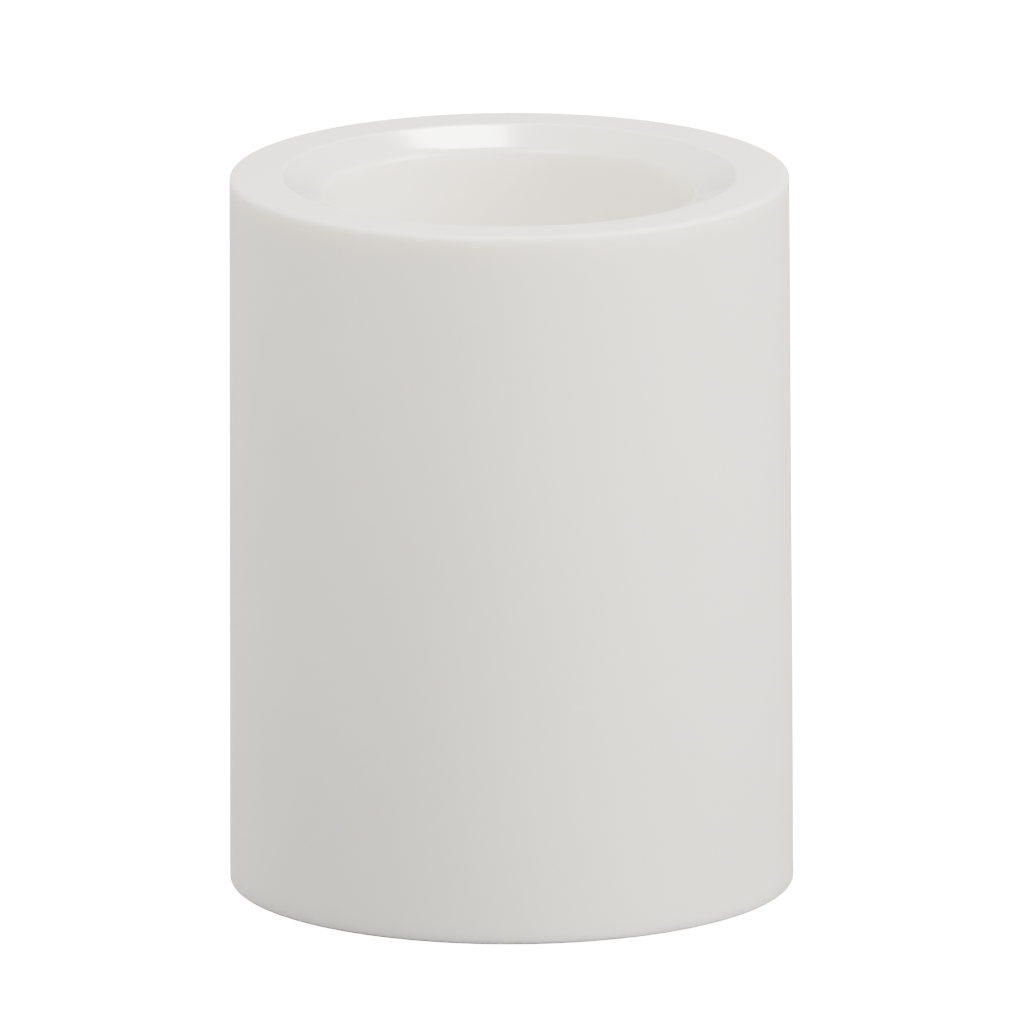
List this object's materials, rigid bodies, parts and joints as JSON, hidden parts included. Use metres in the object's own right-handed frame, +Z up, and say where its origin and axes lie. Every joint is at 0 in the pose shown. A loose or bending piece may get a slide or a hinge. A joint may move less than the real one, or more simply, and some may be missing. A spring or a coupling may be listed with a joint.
{
  "type": "flameless led candle",
  "caption": "Flameless pillar candle: a wax shell with a deep round recess and a frosted flame lens, over a battery case with a hinged door and a slide switch underneath.",
  "frame": {"origin": "centre of the circle that the wax foot stands on", "axes": "+Z up along the pillar; the door's hinge is on the -Y side and the switch on the +Y side, with its travel and the row of cells along X"},
  "size_m": [0.0794, 0.0794, 0.1016],
  "materials": {
    "wax": "satin",
    "adhesive": "satin",
    "white_abs": "satin",
    "frosted_lens": "satin",
    "led_epoxy": "gloss",
    "tinned_steel": "satin",
    "spring_steel": "polished",
    "black_nylon": "satin",
    "fibreglass_board": "satin",
    "chip_epoxy": "matte",
    "resistor_glaze": "satin",
    "tantalum_case": "satin",
    "crystal_can": "satin",
    "solder": "gloss",
    "cell_can": "satin",
    "phenolic": "satin",
    "brass_wiper": "satin",
    "zinc_screw": "satin",
    "red_pvc": "satin",
    "yellow_pvc": "satin",
    "blue_pvc": "satin",
    "black_pvc": "satin"
  },
  "bodies": {
    "root": {"wax_shell": "wax", "glue_bead": "adhesive", "base_plate": "white_abs", "battery_case": "white_abs", "top_cap": "white_abs", "flame_lens": "frosted_lens", "led_bulb": "led_epoxy", "led_leads": "tinned_steel", "led_spacer": "black_nylon", "circuit_board": "fibreglass_board", "timer_chip": "chip_epoxy", "chip_legs": "tinned_steel", "resistors": "resistor_glaze", "capacitor": "tantalum_case", "timer_crystal": "crystal_can", "solder_joints": "solder", "battery_a": "cell_can", "battery_b": "cell_can", "positive_contact": "tinned_steel", "negative_contact": "tinned_steel", "case_spring": "spring_steel", "switch_can": "tinned_steel", "switch_board": "phenolic", "switch_terminals": "tinned_steel", "base_screws": "zinc_screw", "board_screws": "zinc_screw", "red_wire": "red_pvc", "yellow_wire": "yellow_pvc", "blue_wire": "blue_pvc", "black_wire": "black_pvc"},
    "door": {"battery_door": "white_abs", "bridge_contact": "tinned_steel", "door_spring": "spring_steel"},
    "switch": {"switch_knob": "black_nylon", "switch_wiper": "brass_wiper"}
  },
  "joints": [
    {"name": "door_hinge", "type": "hinge", "parent": "root", "child": "door", "pos_m": [0, -0.017, 0.0019], "axis": [-1, 0, 0], "range_deg": [0, 105]},
    {"name": "switch_slide", "type": "slide", "parent": "root", "child": "switch", "axis": [1, 0, 0], "range_m": [-0.002, 0.002]}
  ]
}
